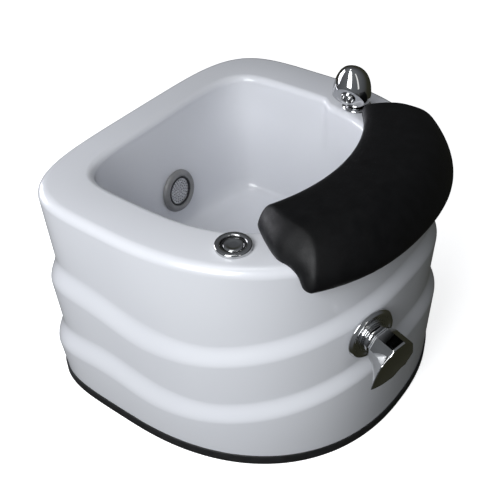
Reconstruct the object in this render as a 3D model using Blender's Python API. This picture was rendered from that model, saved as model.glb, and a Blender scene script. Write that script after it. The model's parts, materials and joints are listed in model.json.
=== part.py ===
"""Pedicure foot bath with a moulded footrest pad, a mixer tap, a filling spout and a whirl jet.

Metres, +Z up. -Y is the front, where the footrest and the mixer are. The origin is on the floor,
under the middle of the whole bath.
"""

import math

import bmesh
import bpy
from mathutils import Matrix, Vector

# Clearances and fineness
GAP = 0.0003
TUBE_END_GAP = 0.0007
SHELL_SIDES = 48
BOARD_SIDES = 28

# Moulded shell, seen from above: two half superellipses that share their widest line
DECK = 0.3894
WIDEST_Y = 0.0852
RIM = {"half_width": 0.287, "front": 0.328, "front_power": 2.3, "back": 0.211, "back_power": 4.5}
OPENING = {"half_width": 0.202, "front": 0.228, "front_power": 2.5, "back": 0.147, "back_power": 5.2}
SHELL_WALL = 0.005
OUTER_ROLL = 0.015
INNER_ROLL = 0.011
LIP_DEPTH = 0.016
PLATFORM_WIDTH = 0.013

# Waves of the skirt: heights of the lower edge of each shoulder, by the angle from the front centre
WAVE_CENTRE_Y = 0.0652
UPPER_WAVE = ((0, 0.271), (82, 0.195), (111, 0.215), (142, 0.198), (180, 0.217))
LOWER_WAVE = ((0, 0.159), (80, 0.082), (102, 0.094), (130, 0.073), (180, 0.091))
SHOULDER_HEIGHT_FRONT = 0.034
SHOULDER_HEIGHT_SIDE = 0.050
# Section of a shoulder as (fraction of its height down, fraction of its step out)
SHOULDER_SHAPE = ((0.0, 0.0), (0.3, 0.22), (0.75, 0.85), (1.0, 1.0))
TIER_TAPER = 0.003
SHOULDER_STEP = 0.012
FOOT_GROW = 0.0145
FOOT_TOP = 0.022
SKIRT_BOTTOM = 0.003

# Rubber edging and base board
TRIM_WALL = 0.0022
TRIM_HEIGHT = 0.0186
TRIM_INNER_HEIGHT = 0.012
BOARD_BOTTOM = 0.014
BOARD_TOP = 0.026
BOARD_ACCESS_RADIUS = 0.070

# Basin bowl
BOWL_WALL = 0.004
BOWL_FLANGE = 0.0125
FLOOR = 0.160
WALL_HIGH = (-0.004, 0.320)
WALL_LOW = (-0.020, 0.200)
FLOOR_FALL = 0.003
DRAIN_HOLE_RADIUS = 0.026

# Footrest pad, in polar terms about the shell's widest line, slid a little round the rim
PAD_TURN = math.radians(5)
PAD_INNER_RADIUS = 0.2075
PAD_SHIFT = -0.006
PAD_INNER_SPREAD = 0.030
PAD_STATIONS = 15
PAD_PLATE_THICKNESS = 0.004
FOOTREST_SCREW_ANGLE = math.radians(20)
FOOTREST_SCREW_RADIUS = 0.272

# Places of the fittings
BUTTON_AT = (-0.205, -0.0788)
BUTTON_TRAVEL = 0.004
BUTTON_DEPTH = 0.044
SPOUT_AT = (0.211, -0.0228)
SPOUT_HEADING = math.radians(187)
SPOUT_FOOT = 0.0064
SPOUT_SHOULDER = 0.0373
SPOUT_TOP = 0.0882
SPOUT_NECK = 0.0185
SPOUT_FRONT = 0.0565
SPOUT_BACK = 0.0038
SPOUT_HALF_WIDTH = 0.0322
SPOUT_LEAN = 0.0365
OUTLET_REACH = 0.0416
OUTLET_HEIGHT = 0.0363
OUTLET_DIP = math.radians(30)
MIXER_ANGLE = math.radians(-107.05)
MIXER_HEIGHT = 0.231
JET_X = 0.005
JET_HEIGHT = 0.240
GLAND_X = -0.110
GLAND_HEIGHT = 0.056

# Mixer handle
PIVOT = 0.012
LEVER_DIRECTION = math.radians(212)
LEVER_TIP = 0.062
LEAF_HALF_ANGLE = math.radians(75)
HANDLE_RADIUS = 0.0285
HANDLE_START = 0.0195
HANDLE_END = 0.0625
SLEEVE_DOME = 0.0235
HANDLE_CAVITY = 0.0250

MATERIALS = {
    "gelcoat_white": ((0.86, 0.87, 0.90), 0.18, 0.0),
    "rubber_black": ((0.012, 0.012, 0.013), 0.60, 0.0),
    "foam_black": ((0.014, 0.014, 0.017), 0.48, 0.0),
    "chrome": ((0.80, 0.80, 0.80), 0.08, 1.0),
    "brass": ((0.72, 0.52, 0.24), 0.35, 1.0),
    "steel": ((0.60, 0.60, 0.61), 0.30, 1.0),
    "plastic_grey": ((0.30, 0.30, 0.31), 0.40, 0.0),
    "plastic_black": ((0.02, 0.02, 0.022), 0.45, 0.0),
    "plastic_white": ((0.80, 0.80, 0.80), 0.40, 0.0),
    "plywood": ((0.52, 0.36, 0.20), 0.75, 0.0),
    "braided_hose": ((0.55, 0.55, 0.56), 0.45, 0.6),
    "clear_tube": ((0.75, 0.78, 0.80), 0.30, 0.0),
    "circuit_board": ((0.03, 0.16, 0.07), 0.50, 0.0),
}


# ---------------------------------------------------------------- modelling helpers


def clear_scene():
    for item in list(bpy.data.objects):
        bpy.data.objects.remove(item, do_unlink=True)


def material(name):
    found = bpy.data.materials.get(name)
    if found:
        return found
    colour, roughness, metallic = MATERIALS[name]
    made = bpy.data.materials.new(name)
    made.use_nodes = True
    shader = made.node_tree.nodes["Principled BSDF"]
    shader.inputs["Base Color"].default_value = (*colour, 1.0)
    shader.inputs["Roughness"].default_value = roughness
    shader.inputs["Metallic"].default_value = metallic
    return made


def add_object(name, bm, finish, place=None, sharp_angle=35):
    """Turns a bmesh into a named object with outward faces, at a place in the world."""
    bmesh.ops.recalc_face_normals(bm, faces=bm.faces)
    mesh = bpy.data.meshes.new(name)
    bm.to_mesh(mesh)
    bm.free()
    mesh.shade_smooth()
    mesh.set_sharp_from_angle(angle=math.radians(sharp_angle))
    mesh.materials.append(material(finish))
    made = bpy.data.objects.new(name, mesh)
    bpy.context.scene.collection.objects.link(made)
    made.matrix_world = place or Matrix.Identity(4)
    return made


def loft(rings, join_ends):
    """Skins a list of rings with equal counts; the ends are joined to each other or capped."""
    bm = bmesh.new()
    loops = [[bm.verts.new(point) for point in ring] for ring in rings]
    pairs = list(zip(loops, loops[1:]))
    if join_ends:
        pairs.append((loops[-1], loops[0]))
    for near, far in pairs:
        for i, vert in enumerate(near):
            j = (i + 1) % len(near)
            bm.faces.new((vert, near[j], far[j], far[i]))
    if not join_ends:
        bm.faces.new(loops[0])
        bm.faces.new(list(reversed(loops[-1])))
    return bm


def turned(profile, sides):
    """Spins a closed outline of (radius, height) points once round local Z."""
    bm = bmesh.new()
    verts = [bm.verts.new((radius, 0.0, height)) for radius, height in profile]
    edges = [
        bm.edges.new((a, b))
        for a, b in zip(verts, verts[1:] + verts[:1])
        if a.co.x > 0 or b.co.x > 0
    ]
    around = {"axis": (0, 0, 1), "cent": (0, 0, 0), "angle": math.tau}
    bmesh.ops.spin(bm, geom=verts + edges, steps=sides, use_merge=True, **around)
    bmesh.ops.remove_doubles(bm, verts=bm.verts, dist=1e-6)
    bmesh.ops.dissolve_degenerate(bm, dist=1e-6, edges=bm.edges)
    return bm


def circle(radius, height, sides, turn=0.0):
    turns = [turn + math.tau * i / sides for i in range(sides)]
    return [(radius * math.cos(t), radius * math.sin(t), height) for t in turns]


def hex_ring(across_flats, bore, low, high):
    """A hexagon nut or head about local Z; each flat has three outline points."""
    outer = []
    for i in range(12):
        reach = across_flats / 2 / math.cos(math.radians(30)) if i % 2 == 0 else across_flats / 2
        angle = math.tau * i / 12
        outer.append((reach * math.cos(angle), reach * math.sin(angle)))
    inner = [(x, y) for x, y, _ in circle(bore / math.cos(math.pi / 12), 0, 12)]
    rings = [
        [(x, y, low) for x, y in outer],
        [(x, y, high) for x, y in outer],
        [(x, y, high) for x, y in inner],
        [(x, y, low) for x, y in inner],
    ]
    return loft(rings, join_ends=True)


def box(low, high):
    corners = [(low[0], low[1]), (high[0], low[1]), (high[0], high[1]), (low[0], high[1])]
    return loft([[(x, y, z) for x, y in corners] for z in (low[2], high[2])], join_ends=False)


def cut(target, cutter):
    """Takes the cutter's volume out of the target."""
    cutter.hide_render = True
    cutter.display_type = "WIRE"
    cutter.data.materials.clear()
    step = target.modifiers.new("cut_" + cutter.name, "BOOLEAN")
    step.operation = "DIFFERENCE"
    step.solver = "EXACT"
    step.object = cutter


def drill(target, name, radius, low, high, place, sides=16):
    rod = loft([circle(radius, low, sides), circle(radius, high, sides)], join_ends=False)
    cut(target, add_object(name, rod, "steel", place))


def axes_at(origin, outward, up=(0, 0, 1)):
    """A place whose local Z points outward and whose local Y is as near to up as it can be."""
    z_axis = Vector(outward).normalized()
    x_axis = Vector(up).cross(z_axis).normalized()
    y_axis = z_axis.cross(x_axis)
    place = Matrix((x_axis, y_axis, z_axis)).transposed().to_4x4()
    place.translation = Vector(origin)
    return place


def smooth_route(points, steps=4):
    """Catmull-Rom points through a route, with plain ends."""
    knots = [Vector(p) for p in points]
    padded = [knots[0] * 2 - knots[1]] + knots + [knots[-1] * 2 - knots[-2]]
    route = []
    for a, b, c, d in zip(padded, padded[1:], padded[2:], padded[3:]):
        for i in range(steps):
            t = i / steps
            square = (2 * a - 5 * b + 4 * c - d) * t**2
            cube = (3 * b - a - 3 * c + d) * t**3
            route.append(0.5 * (2 * b + (c - a) * t + square + cube))
    return route + [knots[-1]]


def tube(name, points, radius, finish):
    """A closed round hose or cable along a route, stopping just short of its two end points."""
    route = smooth_route(points)
    route[0] += (route[1] - route[0]).normalized() * TUBE_END_GAP
    route[-1] += (route[-2] - route[-1]).normalized() * TUBE_END_GAP
    curve = bpy.data.curves.new(name, "CURVE")
    curve.dimensions = "3D"
    curve.bevel_depth = radius
    curve.bevel_resolution = 1
    curve.use_fill_caps = True
    spline = curve.splines.new("POLY")
    spline.points.add(len(route) - 1)
    for slot, point in zip(spline.points, route):
        slot.co = (*point, 1.0)
    curve.materials.append(material(finish))
    made = bpy.data.objects.new(name, curve)
    bpy.context.scene.collection.objects.link(made)
    return made


# ---------------------------------------------------------------- outlines of the shell


def ease(t):
    t = min(max(t, 0.0), 1.0)
    return t * t * (3 - 2 * t)


def reach(plan, grow, angle):
    """Distance from the middle of the widest line to a grown outline, at an angle from +X."""
    end = "back" if math.sin(angle) > 0 else "front"
    depth, power = plan[end], plan[end + "_power"]
    across = abs(math.cos(angle)) / (plan["half_width"] + grow)
    along = abs(math.sin(angle)) / (depth + grow)
    return (across**power + along**power) ** (-1 / power)


def plan_point(plan, grow, angle):
    distance = reach(plan, grow, angle)
    return Vector((distance * math.cos(angle), WIDEST_Y + distance * math.sin(angle)))


def plan_normal(plan, grow, angle):
    step = 0.002
    along = plan_point(plan, grow, angle + step) - plan_point(plan, grow, angle - step)
    return Vector((along.y, -along.x, 0.0)).normalized()


def angles(sides):
    """Equal angles round the shell, starting at the front centre."""
    return [-math.pi / 2 + math.tau * i / sides for i in range(sides)]


def wave_height(wave, degrees):
    for (start, low), (end, high) in zip(wave, wave[1:]):
        if degrees <= end:
            blend = (1 - math.cos(math.pi * (degrees - start) / (end - start))) / 2
            return low + (high - low) * blend
    return wave[-1][1]


def skirt_line(angle):
    """Outer skirt at one angle, top to bottom, as (grow, height) points below the rolled edge."""
    point = plan_point(RIM, 0.0, angle)
    degrees = math.degrees(math.atan2(abs(point.x), WAVE_CENTRE_Y - point.y))
    blend = ease((degrees - 60) / 30)
    shoulder = SHOULDER_HEIGHT_FRONT + (SHOULDER_HEIGHT_SIDE - SHOULDER_HEIGHT_FRONT) * blend
    line = []
    start = 0.0
    for wave in (UPPER_WAVE, LOWER_WAVE):
        low = wave_height(wave, degrees)
        inner = start - TIER_TAPER
        for down, out in SHOULDER_SHAPE:
            line.append((inner + SHOULDER_STEP * out, low + shoulder * (1 - down)))
        start = inner + SHOULDER_STEP
    line.append((FOOT_GROW, FOOT_TOP))
    return line


def skirt_grow(angle, height):
    """How far the outer skirt stands out from the rim outline at a height."""
    line = [(0.0, DECK - OUTER_ROLL)] + skirt_line(angle)
    for (grow_a, high), (grow_b, low) in zip(line, line[1:]):
        if height >= low:
            return grow_b + (grow_a - grow_b) * (height - low) / (high - low)
    return FOOT_GROW


def opening_point(grow, angle, height):
    """The basin opening or wall; on the spout side the deck is wider, which fades out down the wall."""
    point = plan_point(OPENING, grow, angle)
    if point.x > 0:
        forward = WIDEST_Y - point.y
        window = ease((forward - 0.045) / 0.025) * (1 - ease((forward - 0.165) / 0.050))
        fade = ease(1 - (DECK - height) / 0.120)
        point.x -= PLATFORM_WIDTH * window * fade
    return point


def opening_ring(grow, height, sides=SHELL_SIDES):
    return [(*opening_point(grow, angle, height), height) for angle in angles(sides)]


def rim_ring(grow, height, sides=SHELL_SIDES):
    return [(*plan_point(RIM, grow, angle), height) for angle in angles(sides)]


# ---------------------------------------------------------------- shell, bowl and base


def roll(radius, steps=3):
    """Quarter circle as (distance in from the face, distance below the top)."""
    turns = [math.pi / 2 * i / steps for i in range(steps + 1)]
    return [(radius * (1 - math.cos(t)), radius * (1 - math.sin(t))) for t in turns]


def outer_shell():
    rings = [rim_ring(-inward, DECK - down) for inward, down in roll(OUTER_ROLL)]
    rings += [opening_ring(inward, DECK - down) for inward, down in reversed(roll(INNER_ROLL))]
    rings.append(opening_ring(0.0, DECK - LIP_DEPTH))
    rings.append(opening_ring(SHELL_WALL, DECK - LIP_DEPTH))
    rings.append(opening_ring(SHELL_WALL, DECK - INNER_ROLL))
    rings.append(opening_ring(SHELL_WALL * 1.4, DECK - SHELL_WALL))
    rings.append(rim_ring(-OUTER_ROLL, DECK - SHELL_WALL))
    rings.append(rim_ring(-SHELL_WALL, DECK - OUTER_ROLL))
    lines = [skirt_line(angle) for angle in angles(SHELL_SIDES)]
    outline = list(zip(angles(SHELL_SIDES), lines))
    for row in (0, 3, 4, 7, 8):
        rings.append(
            [(*plan_point(RIM, line[row][0] - SHELL_WALL, angle), line[row][1]) for angle, line in outline]
        )
    rings.append(rim_ring(FOOT_GROW - SHELL_WALL, SKIRT_BOTTOM))
    rings.append(rim_ring(FOOT_GROW, SKIRT_BOTTOM))
    for row in reversed(range(len(lines[0]))):
        rings.append([(*plan_point(RIM, line[row][0], angle), line[row][1]) for angle, line in outline])
    return add_object("outer_shell", loft(rings, join_ends=True), "gelcoat_white", sharp_angle=50)


def basin_bowl():
    def disc(radius, height):
        turns = angles(SHELL_SIDES)
        return [(radius * math.cos(a), WIDEST_Y + radius * math.sin(a), height) for a in turns]

    behind_lip = SHELL_WALL + GAP
    under_deck = DECK - SHELL_WALL - GAP
    inside = (
        (0.0, DECK - LIP_DEPTH - GAP),
        WALL_HIGH,
        (-0.012, 0.260),
        WALL_LOW,
        (-0.0245, 0.180),
        (-0.034, 0.167),
        (-0.050, FLOOR + 0.001),
    )
    rings = [opening_ring(grow, height) for grow, height in inside]
    rings.append(disc(0.080, FLOOR - FLOOR_FALL * 0.5))
    rings.append(disc(DRAIN_HOLE_RADIUS, FLOOR - FLOOR_FALL))
    rings.append(disc(DRAIN_HOLE_RADIUS, FLOOR - FLOOR_FALL - BOWL_WALL))
    rings.append(disc(0.080, FLOOR - FLOOR_FALL * 0.5 - BOWL_WALL))
    for grow, height in reversed(inside[1:]):
        lower = BOWL_WALL * (1.0 if height < 0.175 else 0.5 if height < 0.19 else 0.0)
        rings.append(opening_ring(grow + BOWL_WALL - lower * 0.4, height - lower))
    rings.append(opening_ring(BOWL_WALL + 0.001, DECK - LIP_DEPTH - 0.012))
    rings.append(opening_ring(behind_lip + BOWL_WALL, DECK - LIP_DEPTH - 0.004))
    rings.append(opening_ring(behind_lip + BOWL_WALL, under_deck - BOWL_WALL))
    rings.append(opening_ring(BOWL_FLANGE, under_deck - BOWL_WALL))
    rings.append(opening_ring(BOWL_FLANGE, under_deck))
    rings.append(opening_ring(SHELL_WALL * 1.4 + GAP, under_deck))
    rings.append(opening_ring(behind_lip, DECK - INNER_ROLL - GAP))
    rings.append(opening_ring(behind_lip, DECK - LIP_DEPTH - GAP))
    return add_object("basin_bowl", loft(rings, join_ends=True), "gelcoat_white", sharp_angle=50)


def base_trim():
    outside = FOOT_GROW + GAP + TRIM_WALL
    inside = FOOT_GROW - SHELL_WALL - GAP - TRIM_WALL
    rows = (
        (outside, 0.0),
        (outside, TRIM_HEIGHT - 0.001),
        (outside - 0.001, TRIM_HEIGHT),
        (FOOT_GROW + GAP, TRIM_HEIGHT),
        (FOOT_GROW + GAP, SKIRT_BOTTOM - GAP),
        (inside + TRIM_WALL, SKIRT_BOTTOM - GAP),
        (inside + TRIM_WALL, TRIM_INNER_HEIGHT),
        (inside, TRIM_INNER_HEIGHT),
        (inside, 0.0),
    )
    return add_object("base_trim", loft([rim_ring(*row) for row in rows], join_ends=True), "rubber_black")


def base_board():
    edge = FOOT_GROW - SHELL_WALL - 0.004
    radius = BOARD_ACCESS_RADIUS
    hole = [(radius * math.cos(a), WIDEST_Y + radius * math.sin(a)) for a in angles(BOARD_SIDES)]
    rings = [
        rim_ring(edge, BOARD_BOTTOM, BOARD_SIDES),
        rim_ring(edge, BOARD_TOP, BOARD_SIDES),
        [(x, y, BOARD_TOP) for x, y in hole],
        [(x, y, BOARD_BOTTOM) for x, y in hole],
    ]
    return add_object("base_board", loft(rings, join_ends=True), "plywood", sharp_angle=30)


# ---------------------------------------------------------------- footrest


def pad_point(side, half_angle, fraction, extra, height, shift):
    """A point of the crescent: side runs from -1 to 1, fraction from its inner edge to the rim."""
    offset = side * half_angle
    angle = -math.pi / 2 + PAD_TURN + offset
    inner = PAD_INNER_RADIUS + PAD_INNER_SPREAD * offset**2
    distance = inner + (reach(RIM, 0.0, angle) - inner) * fraction + extra
    return (distance * math.cos(angle) + shift, WIDEST_Y + distance * math.sin(angle), height)


def crescent(rows, stations, shifted_rows=()):
    """Lofts the crescent from rows of (fraction, extra, height above deck, end angle in degrees)."""
    placed = [(row, PAD_SHIFT) for row in shifted_rows] + [(row, 0.0) for row in rows]
    rings = []
    for i in range(stations):
        side = -1 + 2 * i / (stations - 1)
        rings.append(
            [
                pad_point(side, math.radians(end), fraction, extra, DECK + rise, shift)
                for (fraction, extra, rise, end), shift in placed
            ]
        )
    return loft(rings, join_ends=False)


def footrest():
    pad_rows = (
        (0.0, -0.003, 0.014, 46.2),
        (0.0, -0.003, 0.030, 44.6),
        (0.0, 0.000, 0.039, 43.0),
        (0.0, 0.010, 0.0440, 41.8),
        (0.55, 0.000, 0.0460, 39.8),
        (1.0, -0.027, 0.0440, 36.6),
        (1.0, -0.006, 0.036, 36.2),
        (1.0, 0.010, 0.019, 39.2),
        (1.0, 0.0210, -0.003, 40.6),
        (1.0, 0.0235, -0.019, 39.8),
        (1.0, 0.018, -0.0270, 38.8),
        (1.0, 0.007, -0.0260, 38.6),
    )
    seat_rows = (
        (1.0, 0.0022, -0.014, 40.2),
        (1.0, -0.0020, -0.0020, 42.2),
        (1.0, -0.0140, GAP * 3, 43.6),
        (0.5, 0.0000, GAP * 2, 46.2),
        (0.0, 0.000, GAP, 47.3),
    )
    plate_rows = (
        (0.0, 0.016, GAP, 36.0),
        (0.0, 0.016, PAD_PLATE_THICKNESS, 36.0),
        (1.0, -0.030, PAD_PLATE_THICKNESS, 36.0),
        (1.0, -0.030, GAP, 36.0),
    )
    recess_rows = (
        (0.0, 0.015, -0.010, 36.5),
        (0.0, 0.015, PAD_PLATE_THICKNESS + GAP, 36.5),
        (1.0, -0.029, PAD_PLATE_THICKNESS + GAP, 36.5),
        (1.0, -0.029, -0.010, 36.5),
    )
    skin = crescent(seat_rows, PAD_STATIONS, pad_rows)
    pad = add_object("footrest_pad", skin, "foam_black", sharp_angle=60)
    cut(pad, add_object("pad_recess", crescent(recess_rows, 9), "foam_black"))
    plate = add_object("footrest_plate", crescent(plate_rows, 9), "plastic_black")
    return plate


def footrest_screws(shell, plate):
    """Two bolts that come up through the deck into the plate inside the pad."""
    head = DECK - SHELL_WALL - GAP
    for side, label in ((-1, "left"), (1, "right")):
        angle = -math.pi / 2 + PAD_TURN + side * FOOTREST_SCREW_ANGLE
        spot = (
            FOOTREST_SCREW_RADIUS * math.cos(angle),
            WIDEST_Y + FOOTREST_SCREW_RADIUS * math.sin(angle),
            0.0,
        )
        place = Matrix.Translation(spot)
        shank = 0.003
        profile = (
            (0, DECK + PAD_PLATE_THICKNESS - GAP),
            (shank, DECK + PAD_PLATE_THICKNESS - GAP),
            (shank, head),
            (0.008, head),
            (0.008, head - 0.0015),
            (0.0055, head - 0.005),
            (0, head - 0.005),
        )
        drill(shell, "bolt_hole_" + label, shank + 2 * GAP, DECK - 0.02, DECK + 0.003, place, sides=10)
        drill(plate, "plate_hole_" + label, shank + 2 * GAP, DECK - 0.003, DECK + 0.02, place, sides=10)
        add_object("footrest_bolt_" + label, turned(profile, 10), "steel", place)


# ---------------------------------------------------------------- air button


def air_button(shell):
    place = Matrix.Translation((*BUTTON_AT, DECK))
    under = -SHELL_WALL - GAP
    drill(shell, "button_hole", 0.0185, -0.02, 0.02, place)
    bezel = (
        (0.0182, GAP),
        (0.0265, GAP),
        (0.0268, 0.0050),
        (0.0255, 0.0068),
        (0.0200, 0.0072),
        (0.0182, 0.0060),
    )
    add_object("button_bezel", turned(bezel, 24), "chrome", place)
    body = (
        (0.0, -BUTTON_DEPTH),
        (0.0030, -BUTTON_DEPTH),
        (0.0030, -0.036),
        (0.0178, -0.034),
        (0.0178, 0.0035),
        (0.0158, 0.0035),
        (0.0158, -0.030),
        (0.0, -0.030),
    )
    add_object("button_body", turned(body, 16), "plastic_black", place)
    cap = (
        (0.0, 0.0062),
        (0.0110, 0.0056),
        (0.0153, 0.0038),
        (0.0153, -0.0150),
        (0.0133, -0.0150),
        (0.0133, -0.0030),
        (0.0, -0.0030),
    )
    add_object("button_cap", turned(cap, 24), "chrome", place)
    gasket = ((0.0181, under), (0.0222, under), (0.0222, under - 0.002), (0.0181, under - 0.002))
    add_object("button_gasket", turned(gasket, 16), "rubber_black", place)
    nut_top = under - 0.002 - GAP
    add_object("button_nut", hex_ring(0.039, 0.0184, nut_top - 0.007, nut_top), "plastic_black", place)
    button_spring(place)


def button_spring(place):
    """Return spring, drawn at its pressed length so that the cap has its full travel."""
    turns, radius, wire = 4, 0.0095, 0.0007
    bottom = -0.030 + wire + GAP
    top = -0.0030 - BUTTON_TRAVEL - wire - GAP
    count = 11 * turns
    points = []
    for i in range(count + 1):
        angle = math.tau * turns * i / count
        height = bottom + (top - bottom) * i / count
        points.append((radius * math.cos(angle), radius * math.sin(angle), height))
    curve = bpy.data.curves.new("button_spring", "CURVE")
    curve.dimensions = "3D"
    curve.bevel_depth = wire
    curve.bevel_resolution = 0
    curve.use_fill_caps = True
    spline = curve.splines.new("POLY")
    spline.points.add(count)
    for slot, point in zip(spline.points, points):
        slot.co = (*point, 1.0)
    curve.materials.append(material("steel"))
    made = bpy.data.objects.new("button_spring", curve)
    bpy.context.scene.collection.objects.link(made)
    made.matrix_world = place


# ---------------------------------------------------------------- filling spout


def spout(shell):
    fixed = Matrix.Translation((*SPOUT_AT, DECK))
    under = -SHELL_WALL - GAP
    drill(shell, "spout_hole", 0.0090, -0.02, 0.02, fixed)
    ring = ((0.0085, GAP), (0.0255, GAP), (0.0255, 0.0020), (0.0225, 0.0058), (0.0085, 0.0058))
    add_object("spout_base_ring", turned(ring, 28), "chrome", fixed)
    shank = ((0.0050, 0.018), (0.0080, 0.018), (0.0080, -0.070), (0.0050, -0.070))
    add_object("spout_shank", turned(shank, 14), "brass", fixed)
    gasket = ((0.0085, under), (0.0170, under), (0.0170, under - 0.002), (0.0085, under - 0.002))
    add_object("spout_gasket", turned(gasket, 16), "rubber_black", fixed)
    nut_top = under - 0.002 - GAP
    add_object("spout_nut", hex_ring(0.030, 0.0085, nut_top - 0.008, nut_top), "brass", fixed)

    place = fixed @ Matrix.Rotation(SPOUT_HEADING, 4, "Z")
    sides, low_rings, high_rings = 24, 6, 8
    heights = [SPOUT_FOOT + (SPOUT_SHOULDER - SPOUT_FOOT) * i / low_rings for i in range(low_rings)]
    for i in range(high_rings):
        heights.append(SPOUT_SHOULDER + (SPOUT_TOP - SPOUT_SHOULDER) * math.sin(math.radians(11.5 * i)))
    rings = [spout_ring(height, sides) for height in heights]
    body = add_object("spout_body", loft(rings, join_ends=False), "chrome", place, sharp_angle=45)
    outward = (math.cos(OUTLET_DIP), 0.0, -math.sin(OUTLET_DIP))
    outlet = place @ axes_at((OUTLET_REACH, 0.0, OUTLET_HEIGHT), outward)
    face = box((-0.060, -0.060, 0.0), (0.060, 0.060, 0.060))
    cut(body, add_object("spout_face", face, "steel", outlet))
    drill(body, "spout_bore", 0.0084, -0.002, 0.020, place)
    drill(body, "outlet_bore", 0.0133, -0.0165, 0.020, outlet, sides=20)
    upward = Vector((1.0, 0.0, 1.0)).normalized()
    drill(body, "link_bore", 0.0060, 0.0, 0.042, place @ axes_at((0.0, 0.0, 0.010), upward))
    nozzle = (
        (0.0, -0.0160),
        (0.0130, -0.0160),
        (0.0130, 0.0022),
        (0.0122, 0.0034),
        (0.0108, 0.0026),
        (0.0104, -0.0040),
        (0.0, -0.0040),
    )
    add_object("spout_aerator", turned(nozzle, 20), "chrome", outlet)


def spout_ring(height, sides):
    """Outline of the head: it widens up to the shoulder, then closes over a top that leans forward."""
    if height < SPOUT_SHOULDER:
        rise = (height - SPOUT_FOOT) / (SPOUT_SHOULDER - SPOUT_FOOT)
        grown = math.sin(math.pi / 2 * rise) ** 1.3
        front = SPOUT_NECK + (SPOUT_FRONT - SPOUT_NECK) * grown
        back = -SPOUT_NECK - (SPOUT_BACK - SPOUT_NECK) * grown
        half = SPOUT_NECK + (SPOUT_HALF_WIDTH - SPOUT_NECK) * grown
    else:
        rise = (height - SPOUT_SHOULDER) / (SPOUT_TOP - SPOUT_SHOULDER)
        closing = math.sqrt(1 - rise**2)
        lean = SPOUT_LEAN * rise
        front = lean + (SPOUT_FRONT - lean) * closing
        back = lean - (SPOUT_BACK + lean) * closing
        half = SPOUT_HALF_WIDTH * closing
    middle, reach = (front + back) / 2, (front - back) / 2
    turns = [math.tau * i / sides for i in range(sides)]
    return [(middle + reach * math.cos(turn), half * math.sin(turn), height) for turn in turns]


# ---------------------------------------------------------------- mixer tap


def mixer_place():
    """Origin on the outer skirt, local Z outward along the wall's normal, local Y up."""
    grow = skirt_grow(MIXER_ANGLE, MIXER_HEIGHT)
    foot = plan_point(RIM, grow, MIXER_ANGLE)
    span = 0.030
    above = skirt_grow(MIXER_ANGLE, MIXER_HEIGHT + span)
    below = skirt_grow(MIXER_ANGLE, MIXER_HEIGHT - span)
    normal = plan_normal(RIM, grow, MIXER_ANGLE)
    normal.z = (below - above) / (2 * span)
    return axes_at((foot.x, foot.y, MIXER_HEIGHT), normal)


def handle_section(height, start_radius):
    """Outline of the lever handle: a round barrel that grows a pointed leaf towards its end."""
    sides = 24
    along = (height - HANDLE_START) / (HANDLE_END - HANDLE_START)
    leaf = (LEVER_TIP - HANDLE_RADIUS) * along**2.2
    ring = []
    for i in range(sides):
        from_tip = math.tau * i / sides - math.pi
        away = min(1.0, abs(from_tip) / LEAF_HALF_ANGLE)
        distance = start_radius + leaf * (1 - away) ** 1.5
        angle = LEVER_DIRECTION + from_tip
        ring.append((distance * math.cos(angle), distance * math.sin(angle), height))
    return ring


def mixer(shell):
    place = mixer_place()
    behind = -SHELL_WALL - 0.0022
    drill(shell, "mixer_hole", 0.0160, -0.020, 0.020, place)

    flange = (
        (0.0154, 0.0012),
        (0.0424, 0.0012),
        (0.0430, 0.0034),
        (0.0398, 0.0082),
        (0.0350, 0.0086),
        (0.0330, 0.0062),
        (0.0272, 0.0058),
        (0.0264, 0.0090),
        (0.0154, 0.0090),
    )
    add_object("mixer_flange", turned(flange, 32), "chrome", place)
    body = (
        (0.0, -0.050),
        (0.0200, -0.050),
        (0.0200, -0.0200),
        (0.0148, -0.0200),
        (0.0148, 0.0140),
        (0.0122, 0.0140),
        (0.0122, -0.0160),
        (0.0, -0.0160),
    )
    add_object("mixer_body", turned(body, 16), "brass", place)
    add_object("mixer_nut", hex_ring(0.046, 0.0153, behind - 0.008, behind), "brass", place)
    cartridge = ((0.0, -0.0157), (0.0118, -0.0157), (0.0118, 0.0038), (0.0, 0.0038))
    add_object("mixer_cartridge", turned(cartridge, 16), "plastic_white", place)
    rotor = ((0.0082, 0.0042), (0.0118, 0.0042), (0.0118, 0.0120), (0.0082, 0.0120))
    add_object("cartridge_rotor", turned(rotor, 16), "plastic_grey", place)
    mixer_sleeve(place)
    mixer_lever(place)
    inlet_tails(place)


def mixer_sleeve(place):
    """Fixed neck with a ball-shaped front, on which the handle tilts."""
    dome = SLEEVE_DOME
    rows = [(0.0151, 0.0093), (dome, 0.0093), (dome, PIVOT)]
    for degrees in (20, 38, 56):
        turn = math.radians(degrees)
        rows.append((dome * math.cos(turn), PIVOT + dome * math.sin(turn)))
    rows += [(0.0105, 0.0290), (0.0151, 0.0190)]
    add_object("mixer_sleeve", turned(rows, 20), "chrome", place)


def mixer_lever(place):
    stem = ((0.0, 0.0062), (0.0034, 0.0062), (0.0034, 0.0420), (0.0, 0.0420))
    add_object("mixer_stem", turned(stem, 12), "steel", place)
    sections = (
        (HANDLE_START, 0.0262),
        (0.024, HANDLE_RADIUS),
        (0.034, HANDLE_RADIUS),
        (0.044, HANDLE_RADIUS),
        (0.054, HANDLE_RADIUS),
        (HANDLE_END, HANDLE_RADIUS),
    )
    rings = [handle_section(height, radius) for height, radius in sections]
    handle = add_object("mixer_handle", loft(rings, join_ends=False), "chrome", place, sharp_angle=30)
    cavity = HANDLE_CAVITY
    profile = [(0.0, PIVOT), (0.032, PIVOT), (0.032, HANDLE_START - 0.001)]
    for degrees in (16, 34, 52, 68, 81):
        turn = math.radians(degrees)
        profile.append((cavity * math.cos(turn), PIVOT + cavity * math.sin(turn)))
    profile += [(0.0038, PIVOT + cavity), (0.0038, 0.0424), (0.0, 0.0424)]
    cut(handle, add_object("handle_cavity", turned(profile, 16), "chrome", place))


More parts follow.
